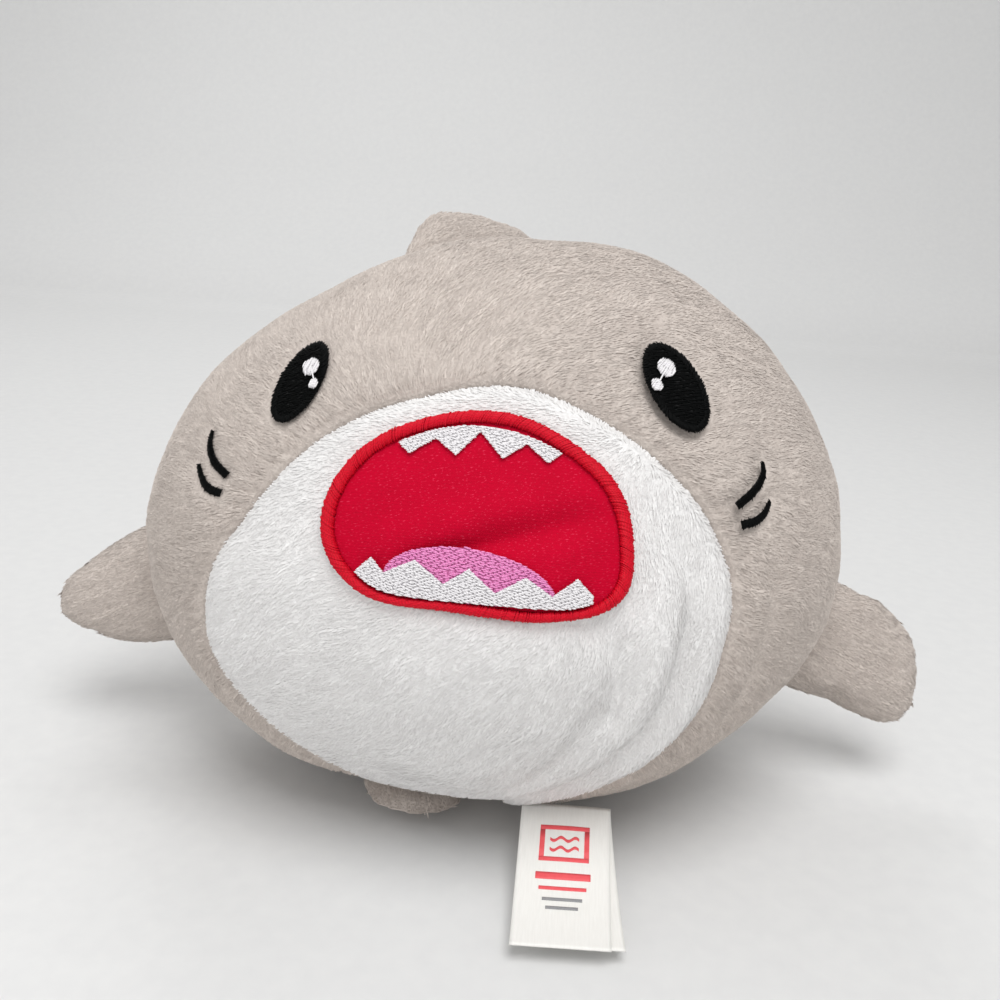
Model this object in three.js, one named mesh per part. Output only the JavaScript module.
// A round plush shark that sits on its tail, in millimetres.
// +Z is up, the face looks along -Y and a little upwards, and +X is the toy's own left side.
// The origin is on the ground under the middle of the ball.
import * as THREE from "three";
import { mergeVertices } from "three/addons/utils/BufferGeometryUtils.js";

const degrees = THREE.MathUtils.degToRad;

// The stuffed ball, measured from its centre to the outside of the cloth.
const HALF_WIDTH = 100;
const CROWN_HEIGHT = 88;
const BELLY_DROP = 75;
const FACE_DEPTH = 78;
const BACK_DEPTH = 72;
const CROWN_LEAN = 9.5;            // how far the crown leans towards the toy's left
const FACE_TILT = degrees(20);     // how far the face looks up
const SEAT_SQUASH = 7;             // how far the toy's weight presses its belly flat
const SEAT_SOFTNESS = 4;           // rounding where the flat patch begins

// Cloth and gaps.
const CLOTH = 1.6;                 // plush with its pile pressed
const SEAM_GAP = 0.3;              // left between the edges of two pieces of cloth
const STUFFING_GAP = 2.8;          // also covers the flats of the facets
const ROOT_GAP = 1.8;              // room for a fin to bend beside the body
const STITCH_GAP = 0.3;            // between an embroidered patch and the cloth under it
const STITCH_HEIGHT = 0.6;

// Cloth edges, as angles away from the mouth's axis at the clock positions 3, 2, 1, 12 ... 4.
const MOUTH_EDGE = [18, 17.8, 17.4, 18.8, 20.3, 22.6, 23.1, 20.4, 14.4, 13.1, 15.3, 19];
const MUZZLE_EDGE = [34, 27, 24, 24.5, 25, 29.5, 38, 55, 66, 76, 58, 42];
const SIDE_SEAM = 99;
const BACK_SEAM = 108;             // clock angle, up and down from 3 o'clock, of the back's seam

// The tail lies on the ground under the belly, its long lobe behind and its short lobe in front.
const TAIL_CENTRE_X = -26;
const TAIL_SLANT = 0.22;           // sideways run for each millimetre towards the back
const TAIL_HALF_WIDTH = 15.2;
const TAIL_PIVOT_Y = 4;
const TAIL_SWING_ROOM = 0.11;      // extra half width for each millimetre from the pivot
const TAIL_ROOF = 11.6;            // height of the dent that the tail makes in the belly
const TAIL_SHOULDER = 7;

const COLUMNS = 40;                // facets around the ball

const GREY = { color: 0xb5aaa4, roughness: 0.95, metalness: 0 };
const WHITE = { color: 0xe6e5e3, roughness: 0.95, metalness: 0 };
const RED = { color: 0xc80a30, roughness: 0.8, metalness: 0 };
const PINK = { color: 0xdb86b4, roughness: 0.5, metalness: 0 };
const BLACK = { color: 0x0b0d0c, roughness: 0.45, metalness: 0 };
const THREAD_WHITE = { color: 0xf2f0f0, roughness: 0.5, metalness: 0 };
const SATIN = { color: 0xeeede9, roughness: 0.4, metalness: 0 };
const FIBRE = { color: 0xf4f4f2, roughness: 1, metalness: 0 };

// ---------------------------------------------------------------- numbers

function softMax(a, b, softness) {
  const overlap = Math.max(softness - Math.abs(a - b), 0) / softness;
  return Math.max(a, b) + overlap * overlap * softness / 4;
}

function smoothStep(from, to, value) {
  const share = Math.min(Math.max((value - from) / (to - from), 0), 1);
  return share * share * (3 - 2 * share);
}

// A smooth closed curve through equally spaced values, read at a turn from 0 to 2 pi.
function aroundClock(values, turn) {
  const place = ((turn / (2 * Math.PI)) % 1 + 1) % 1 * values.length;
  const start = Math.floor(place);
  const share = place - start;
  const [before, from, to, after] = [-1, 0, 1, 2].map(
    (step) => values[(start + step + values.length) % values.length]);
  const slope = (to - before) / 2;
  const nextSlope = (after - from) / 2;
  const gap = to - from;
  const cubic = slope + nextSlope - 2 * gap;
  const square = 3 * gap - 2 * slope - nextSlope;
  return from + share * (slope + share * (square + share * cubic));
}

// ---------------------------------------------------------------- the ball's surface

const CENTRE_HEIGHT =
  Math.hypot(BELLY_DROP * Math.cos(FACE_TILT), BACK_DEPTH * Math.sin(FACE_TILT)) - SEAT_SQUASH;

// From the face's own directions (across, up the face, out of the face) to the toy's frame.
function faceVector(across, up, out) {
  return new THREE.Vector3(
    across,
    up * Math.sin(FACE_TILT) - out * Math.cos(FACE_TILT),
    up * Math.cos(FACE_TILT) + out * Math.sin(FACE_TILT));
}

function facePlace(across, up, out) {
  return faceVector(across, up, out).add(new THREE.Vector3(0, 0, CENTRE_HEIGHT));
}

// How high the ground, or the tail lying on it, holds the layer at a depth under the surface.
function seatHeight(x, y, inset) {
  const middle = TAIL_CENTRE_X - TAIL_SLANT * y;
  const halfWidth = TAIL_HALF_WIDTH + inset + TAIL_SWING_ROOM * Math.abs(y - TAIL_PIVOT_Y);
  const beyond = Math.abs(x - middle) - halfWidth;
  return inset + TAIL_ROOF * (1 - smoothStep(0, TAIL_SHOULDER, beyond));
}

function pressOnSeat(point, inset) {
  point.z = softMax(point.z, seatHeight(point.x, point.y, inset), SEAT_SOFTNESS);
  return point;
}

// A point of the ball: its clock angle, its angle away from the mouth's axis, and its depth.
function skin(clock, open, inset) {
  const right = Math.sin(open) * Math.cos(clock);
  const up = Math.sin(open) * Math.sin(clock);
  const out = Math.cos(open);
  const height = (up > 0 ? CROWN_HEIGHT : BELLY_DROP) - inset;
  const depth = (out > 0 ? FACE_DEPTH : BACK_DEPTH) - inset;
  const lean = CROWN_LEAN * Math.max(up, 0) ** 2;
  const place = facePlace((HALF_WIDTH - inset) * right + lean, height * up, depth * out);
  return pressOnSeat(place, inset);
}

// A point of the face, found straight behind a place in the face's own plane.
function onFace(across, up, lift) {
  const upShare = up / ((up > 0 ? CROWN_HEIGHT : BELLY_DROP) + lift);
  const lean = CROWN_LEAN * Math.max(upShare, 0) ** 2;
  const rightShare = (across - lean) / (HALF_WIDTH + lift);
  const outShare = Math.sqrt(1 - rightShare ** 2 - upShare ** 2);
  return facePlace(across, up, (FACE_DEPTH + lift) * outShare);
}

function isInsideBall(point) {
  const local = point.clone().sub(new THREE.Vector3(0, 0, CENTRE_HEIGHT));
  const up = local.y * Math.sin(FACE_TILT) + local.z * Math.cos(FACE_TILT);
  const out = local.z * Math.sin(FACE_TILT) - local.y * Math.cos(FACE_TILT);
  const upShare = up / (up > 0 ? CROWN_HEIGHT : BELLY_DROP);
  const lean = CROWN_LEAN * Math.max(upShare, 0) ** 2;
  const outShare = out / (out > 0 ? FACE_DEPTH : BACK_DEPTH);
  return ((local.x - lean) / HALF_WIDTH) ** 2 + upShare ** 2 + outShare ** 2 < 1;
}

// ---------------------------------------------------------------- closed solids from grids

// Cells of a grid of points, as triangles.
function gridCells(pointAt, columns, rows, triangles) {
  for (let column = 0; column < columns; column += 1) {
    for (let row = 0; row < rows; row += 1) {
      const near = pointAt(column / columns, row / rows);
      const right = pointAt((column + 1) / columns, row / rows);
      const far = pointAt((column + 1) / columns, (row + 1) / rows);
      const left = pointAt(column / columns, (row + 1) / rows);
      triangles.push([near, right, far], [near, far, left]);
    }
  }
}

// Welds the corners, drops the triangles that shrink to a line at a pole, and faces them out.
function solidGeometry(triangles) {
  const corners = new THREE.BufferGeometry().setFromPoints(triangles.flat());
  const welded = mergeVertices(corners, 1e-3);
  const index = welded.getIndex().array;
  const kept = [];
  for (let first = 0; first < index.length; first += 3) {
    const [a, b, c] = index.slice(first, first + 3);
    if (a !== b && b !== c && c !== a) kept.push([a, b, c]);
  }
  const places = welded.getAttribute("position");
  const corner = (number) => new THREE.Vector3().fromBufferAttribute(places, number);
  const volume = kept.reduce(
    (sum, [a, b, c]) => sum + corner(a).dot(corner(b).cross(corner(c))), 0);
  const facing = volume > 0 ? kept : kept.map(([a, b, c]) => [a, c, b]);
  welded.setIndex(facing.flat());
  welded.computeVertexNormals();
  return welded;
}

// A sheet with a front and a back, closed along its edges. pointAt(u, v, side) takes side 0 or 1.
function sheet(pointAt, columns, rows, wraps) {
  const triangles = [];
  const turned = (u) => (wraps && u === 1 ? 0 : u);
  gridCells((u, v) => pointAt(turned(u), v, 0), columns, rows, triangles);
  gridCells((u, v) => pointAt(turned(1 - u), v, 1), columns, rows, triangles);
  gridCells((u, v) => pointAt(turned(1 - u), 0, v), columns, 1, triangles);
  gridCells((u, v) => pointAt(turned(u), 1, v), columns, 1, triangles);
  if (!wraps) {
    gridCells((v, u) => pointAt(0, v, u), rows, 1, triangles);
    gridCells((v, u) => pointAt(1, 1 - v, u), rows, 1, triangles);
  }
  return solidGeometry(triangles);
}

// A closed skin that wraps in u and runs from pole to pole, or right round, in v.
function closedSkin(pointAt, columns, rows) {
  const triangles = [];
  gridCells((u, v) => pointAt(u === 1 ? 0 : u, v), columns, rows, triangles);
  return solidGeometry(triangles);
}

const toy = new THREE.Group();

function add(name, geometry, finish) {
  const mesh = new THREE.Mesh(geometry, new THREE.MeshStandardMaterial(finish));
  mesh.name = name;
  toy.add(mesh);
}

// ---------------------------------------------------------------- body panels and stuffing

const HALF_SEAM = SEAM_GAP / 2 / FACE_DEPTH;
const mouthOpen = (clock) => degrees(aroundClock(MOUTH_EDGE, clock));
const muzzleOpen = (clock) => degrees(aroundClock(MUZZLE_EDGE, clock));
const sideOpen = () => degrees(SIDE_SEAM);

// A ring of cloth between two edges, both given as functions of the clock angle.
function ringPanel(innerEdge, outerEdge, rows) {
  return sheet((u, v, side) => {
    const clock = u * 2 * Math.PI;
    const from = innerEdge(clock) + HALF_SEAM;
    const to = outerEdge(clock) - HALF_SEAM;
    return skin(clock, from + (to - from) * v, side * CLOTH);
  }, COLUMNS, rows, true);
}

// One side of the back, between the two ends of the back's seam. direction is +1 at +X.
function backPanel(direction, startClock, endClock) {
  const columns = COLUMNS * (endClock - startClock) / 360;
  return sheet((u, v, side) => {
    const clock = degrees(startClock + (endClock - startClock) * u);
    const from = sideOpen() + HALF_SEAM;
    const point = skin(clock, from + (Math.PI - from) * v, side * CLOTH);
    point.x += direction * SEAM_GAP / 2;
    return point;
  }, columns, 8, false);
}

add("belly_panel", ringPanel(mouthOpen, muzzleOpen, 7), WHITE);
add("face_panel", ringPanel(muzzleOpen, sideOpen, 7), GREY);
add("back_panel_left", backPanel(1, -BACK_SEAM, BACK_SEAM), GREY);
add("back_panel_right", backPanel(-1, BACK_SEAM, 360 - BACK_SEAM), GREY);
add("stuffing", closedSkin(
  (u, v) => skin(u * 2 * Math.PI, v * Math.PI, CLOTH + STUFFING_GAP), COLUMNS, 16), FIBRE);

// ---------------------------------------------------------------- mouth

const RIM_HALF_WIDTH = 1.3;
const RIM_HALF_HEIGHT = 0.7;

// A patch stitched on the face. placeAt(u, v) gives [across, up] in the face's plane.
function stitchedPatch(placeAt, columns, rows, wraps, lift) {
  return sheet((u, v, side) => {
    const [across, up] = placeAt(u, v);
    return onFace(across, up, lift + side * STITCH_HEIGHT);
  }, columns, rows, wraps);
}

const liningEdge = (clock) => mouthOpen(clock) - HALF_SEAM * 2;
add("mouth_lining", sheet(
  (u, v, side) => skin(u * 2 * Math.PI, v * liningEdge(u * 2 * Math.PI), side * CLOTH),
  COLUMNS, 3, true), RED);

add("mouth_rim", closedSkin((u, v) => {
  const clock = u * 2 * Math.PI;
  const around = v * 2 * Math.PI;
  const across = RIM_HALF_WIDTH * (Math.cos(around) - 1) / HALF_WIDTH;
  const lift = STITCH_GAP + RIM_HALF_HEIGHT * (1 + Math.sin(around));
  return skin(clock, mouthOpen(clock) + across, -lift);
}, COLUMNS, 6), RED);

// The edges of the teeth and the tongue that run along the mouth's rim.
const UPPER_GUM = (across) => 25.5 - 0.0143 * (across + 5) ** 2;
const LOWER_GUM = (across) => -14.5 - 0.02 * across + 4.5 * ((across + 2.5) / 28.5) ** 6;

// Teeth, as the corners of their free edge from the toy's right to its left.
const UPPER_TEETH = [
  [-23.2, 20.4], [-20.6, 18.3], [-15, 22.1], [-10.1, 18.5], [-4.9, 24.2],
  [0.5, 18.3], [5.7, 22.1], [10.7, 18.1], [13.6, 20.2]];
const LOWER_TEETH = [
  [-31, -9.2], [-27.4, -5.7], [-24.5, -9], [-17.5, -5.6], [-10.9, -10.6],
  [-5.3, -6.9], [0.8, -11.9], [7.5, -7.9], [13.6, -11.8], [19, -7.5], [22.8, -10.9]];

// Two columns of facets for each straight stretch of a row of teeth.
function teeth(corners, gum, lift) {
  const stretches = corners.length - 1;
  return stitchedPatch((u, v) => {
    const place = u * stretches;
    const start = Math.min(Math.floor(place), stretches - 1);
    const share = place - start;
    const across = THREE.MathUtils.lerp(corners[start][0], corners[start + 1][0], share);
    const edge = THREE.MathUtils.lerp(corners[start][1], corners[start + 1][1], share);
    return [across, THREE.MathUtils.lerp(gum(across), edge, v)];
  }, stretches * 2, 2, false, lift);
}

const OVER_TONGUE = STITCH_GAP * 2 + STITCH_HEIGHT;
add("upper_teeth", teeth(UPPER_TEETH, UPPER_GUM, STITCH_GAP), THREAD_WHITE);
add("lower_teeth", teeth(LOWER_TEETH, LOWER_GUM, OVER_TONGUE), THREAD_WHITE);

const TONGUE = { middle: -5, half: 19.5, base: -11.2, rise: 8.8, slope: -0.09 };
add("tongue", stitchedPatch((u, v) => {
  const share = 2 * u - 1;
  const across = TONGUE.middle + TONGUE.half * share;
  const dome = TONGUE.rise * Math.sqrt(1 - share ** 2);
  const top = TONGUE.base + dome + TONGUE.slope * TONGUE.half * share;
  const floor = LOWER_GUM(across);
  return [across, floor + (Math.max(top, floor + STITCH_HEIGHT) - floor) * v];
}, 16, 2, false, STITCH_GAP), PINK);

// ---------------------------------------------------------------- eyes and gill marks

// An oval patch with its long axis leaning from upright towards +X.
function oval(middle, halfWidth, halfHeight, lean, lift) {
  return stitchedPatch((u, v) => {
    const turn = u * 2 * Math.PI;
    const side = halfWidth * v * Math.cos(turn);
    const rise = halfHeight * v * Math.sin(turn);
    return [
      middle[0] + side * Math.cos(lean) + rise * Math.sin(lean),
      middle[1] - side * Math.sin(lean) + rise * Math.cos(lean)];
  }, 20, 2, true, lift);
}

const ON_EYE = STITCH_GAP * 2 + STITCH_HEIGHT;
const EYE_RIGHT_LEAN = degrees(21);
const EYE_LEFT_LEAN = degrees(-30);
add("eye_right", oval([-49.6, 34.9], 5.6, 11.1, EYE_RIGHT_LEAN, STITCH_GAP), BLACK);
add("eye_left", oval([40.6, 39.5], 6.9, 12, EYE_LEFT_LEAN, STITCH_GAP), BLACK);
add("glint_right_large", oval([-47.1, 38.5], 1.9, 2.2, EYE_RIGHT_LEAN, ON_EYE), THREAD_WHITE);
add("glint_right_small", oval([-45.7, 34.1], 1, 1.2, EYE_RIGHT_LEAN, ON_EYE), THREAD_WHITE);
add("glint_left_large", oval([37.9, 43.8], 2.1, 2.3, EYE_LEFT_LEAN, ON_EYE), THREAD_WHITE);
add("glint_left_small", oval([35.5, 39.1], 1.3, 1.4, EYE_LEFT_LEAN, ON_EYE), THREAD_WHITE);

// A curved bar of stitching that widens from its thin upper end to its thick lower end.
const GILL_THIN = 0.4;
const GILL_THICK = 1;
function gill(points) {
  const line = new THREE.SplineCurve(points.map(([across, up]) => new THREE.Vector2(across, up)));
  return stitchedPatch((u, v) => {
    const place = line.getPoint(u);
    const along = line.getTangent(u);
    const half = THREE.MathUtils.lerp(GILL_THIN, GILL_THICK, Math.sin(u * Math.PI * 0.65));
    const side = (2 * v - 1) * half;
    return [place.x - along.y * side, place.y + along.x * side];
  }, 8, 1, false, STITCH_GAP);
}

add("gill_right_upper", gill([[-72.4, 22.3], [-72.4, 18.4], [-70, 14.2], [-65.7, 11]]), BLACK);
add("gill_right_lower", gill([[-75, 13.6], [-73.2, 9.9], [-70.6, 7.6], [-67, 6.6]]), BLACK);
add("gill_left_upper", gill([[63.6, 23.4], [63.8, 20.2], [61.2, 16], [56.6, 12]]), BLACK);
add("gill_left_lower", gill([[65.8, 14], [64.4, 11], [61.8, 8.8], [58, 7.6]]), BLACK);

// ---------------------------------------------------------------- fins

const LEAF_HALF_GAP = SEAM_GAP / 2;
const FILLING_SHARE = 0.92;        // the filling stops short of the seam
const FILLING_SLACK = 0.9;
const PUFF = 0.6;                  // a lower power gives a rounder edge
const puff = (share) => Math.max(1 - share * share, 0) ** PUFF;

// How far out along a fin's plane the ball's surface lies, at a place along the fin's root.
function ballAlong(frame, along) {
  let inside = -60;
  let outside = 60;
  for (let step = 0; step < 30; step += 1) {
    const middle = (inside + outside) / 2;
    if (isInsideBall(finPlace(frame, along, middle, 0))) inside = middle;
    else outside = middle;
  }
  return outside;
}

function finPlace(frame, along, out, height) {
  return frame.origin.clone()
    .addScaledVector(frame.along, along)
    .addScaledVector(frame.out, out)
    .addScaledVector(frame.face, height);
}

// A fin's outline: its free edge through a few points, then its root back along the body.
function finOutline(frame, freeEdge, rootAt) {
  const curve = new THREE.SplineCurve(freeEdge.map(([along, out]) => new THREE.Vector2(along, out)));
  const points = curve.getSpacedPoints(frame.edgeSteps);
  const [from, to] = [points.at(-1), points[0]];
  const rootSteps = 6;
  for (let step = 1; step < rootSteps; step += 1) {
    const along = THREE.MathUtils.lerp(from.x, to.x, step / rootSteps);
    points.push(new THREE.Vector2(along, rootAt(along)));
  }
  return points;
}

// Two leaves of plush sewn round their edge over a filling, as three closed pieces.
// fullness is how far the filling swells the front leaf and the back leaf.
function fin(names, frame, outline, fullness) {
  const middle = outline.reduce((sum, point) => sum.add(point), new THREE.Vector2())
    .divideScalar(outline.length);
  const count = outline.length;
  const planAt = (u, share) => {
    const edge = outline[Math.round(u * count) % count];
    return middle.clone().lerp(edge, share);
  };
  const leaf = (side, swell) => sheet((u, v, layer) => {
    const plan = planAt(u, v);
    const height = LEAF_HALF_GAP + (1 - layer) * CLOTH + swell * puff(v);
    return finPlace(frame, plan.x, plan.y, side * height);
  }, count, 4, true);
  add(names[0], leaf(1, fullness[0]), GREY);
  add(names[1], leaf(-1, fullness[1]), GREY);
  add(names[2], closedSkin((u, v) => {
    const side = v < 0.5 ? 0 : 1;
    const share = 1 - Math.abs(2 * v - 1);
    const plan = planAt(u, share * FILLING_SHARE);
    const swell = Math.max(fullness[side] - FILLING_SLACK, 0) * puff(share);
    return finPlace(frame, plan.x, plan.y, side === 0 ? swell : -swell);
  }, count, 6), FIBRE);
}

// Side fins: paddles in the side seams, flat to the face. Each free edge runs from top to bottom.
const FIN_BACK = -15;
const FIN_FULLNESS = [5.5, 4.5];

function sideFin(side, name, freeEdge) {
  const frame = {
    origin: facePlace(side * HALF_WIDTH, 0, FIN_BACK),
    along: faceVector(0, 1, 0),
    out: faceVector(side, 0, 0),
    face: faceVector(0, 0, 1),
    edgeSteps: 18,
  };
  const rootAt = (along) => ballAlong(frame, along) + ROOT_GAP;
  const rooted = freeEdge.map(([along, out], number) => {
    const isRoot = number === 0 || number === freeEdge.length - 1;
    return [along, isRoot ? rootAt(along) : out];
  });
  fin([`${name}_front`, `${name}_back`, `${name}_filling`], frame,
    finOutline(frame, rooted, rootAt), FIN_FULLNESS);
}

sideFin(-1, "fin_right",
  [[3, 0], [-3, 10], [-14, 24.5], [-22, 32], [-31.5, 32], [-38, 20], [-39.5, 6], [-36, 0]]);
sideFin(1, "fin_left",
  [[0, 0], [-6, 10], [-11.5, 23], [-23, 32.5], [-38, 34], [-47.5, 27.5], [-46, 14], [-36, 0]]);

// Dorsal fin: on the upper back, turned so that its front edge points to the toy's right.
const DORSAL_TURN = degrees(48);
const DORSAL_FULLNESS = [6, 6];
const dorsalOut = faceVector(0.06, 0.94, -0.34).normalize();
const dorsalRoot = faceVector(Math.sin(DORSAL_TURN), 0, -Math.cos(DORSAL_TURN));
const dorsalAlong = dorsalRoot.clone().addScaledVector(dorsalOut, -dorsalRoot.dot(dorsalOut))
  .normalize();
const dorsalFrame = {
  origin: facePlace(-8, 78, -30),
  along: dorsalAlong,
  out: dorsalOut,
  face: new THREE.Vector3().crossVectors(dorsalAlong, dorsalOut),
  edgeSteps: 18,
};
const dorsalRootAt = (along) => ballAlong(dorsalFrame, along) + ROOT_GAP;
const dorsalEdge = [
  [-36, dorsalRootAt(-36)], [-28.5, 17], [-14, 27], [5, 33], [19, 31], [26, 19],
  [27, dorsalRootAt(27)]];
fin(["dorsal_fin_left", "dorsal_fin_right", "dorsal_fin_filling"], dorsalFrame,
  finOutline(dorsalFrame, dorsalEdge, dorsalRootAt), DORSAL_FULLNESS);

// Tail fin: flat on the ground, its root against the dent in the belly.
const TAIL_ROOT_OUT = -12.5;
const tailAlong = new THREE.Vector3(-TAIL_SLANT, 1, 0).normalize();
const tailFrame = {
  origin: new THREE.Vector3(TAIL_CENTRE_X, 0, LEAF_HALF_GAP + CLOTH),
  along: tailAlong,
  out: new THREE.Vector3(-tailAlong.y, tailAlong.x, 0),
  face: new THREE.Vector3(0, 0, 1),
  edgeSteps: 26,
};
const TAIL_EDGE = [
  [-12, TAIL_ROOT_OUT], [-30, -13], [-42, -13], [-46, -1], [-39, 11], [-26, 13], [-8, 7], [8, 4],
  [24, 6], [44, 13], [68, 18], [90, 15.5], [96, 7], [82, -4], [48, -13], [16, TAIL_ROOT_OUT]];
fin(["tail_upper", "tail_lower", "tail_filling"], tailFrame,
  finOutline(tailFrame, TAIL_EDGE, () => TAIL_ROOT_OUT), [6.6, 0]);

// ---------------------------------------------------------------- label

const LABEL = { left: 36.3, right: 12.3, root: -48.5, front: -92, rise: 8.8, clear: 0.25 };
const LABEL_LEAF = 0.5;
const LABEL_PITCH = 1;
const FRONT_LEAF_SHIFT = -2.5;     // how far each leaf's free end lies to one side of its root
const BACK_LEAF_SHIFT = 1.1;
const BACK_LEAF_SHORTER = 1.5;

// A satin leaf that leaves the belly seam and curves down onto the ground.
function labelLeaf(layer, shift, shorter) {
  return sheet((u, v, side) => {
    const y = THREE.MathUtils.lerp(LABEL.root, LABEL.front + shorter, u);
    const x = THREE.MathUtils.lerp(LABEL.right, LABEL.left, v) + shift * u;
    const share = (y - LABEL.front) / (LABEL.root - LABEL.front);
    const z = LABEL.clear + LABEL.rise * share ** 2 + layer * LABEL_PITCH + side * LABEL_LEAF;
    return new THREE.Vector3(x, y, z);
  }, 8, 1, false);
}

add("label_front", labelLeaf(1, FRONT_LEAF_SHIFT, 0), SATIN);
add("label_back", labelLeaf(0, BACK_LEAF_SHIFT, BACK_LEAF_SHORTER), SATIN);

export default toy;
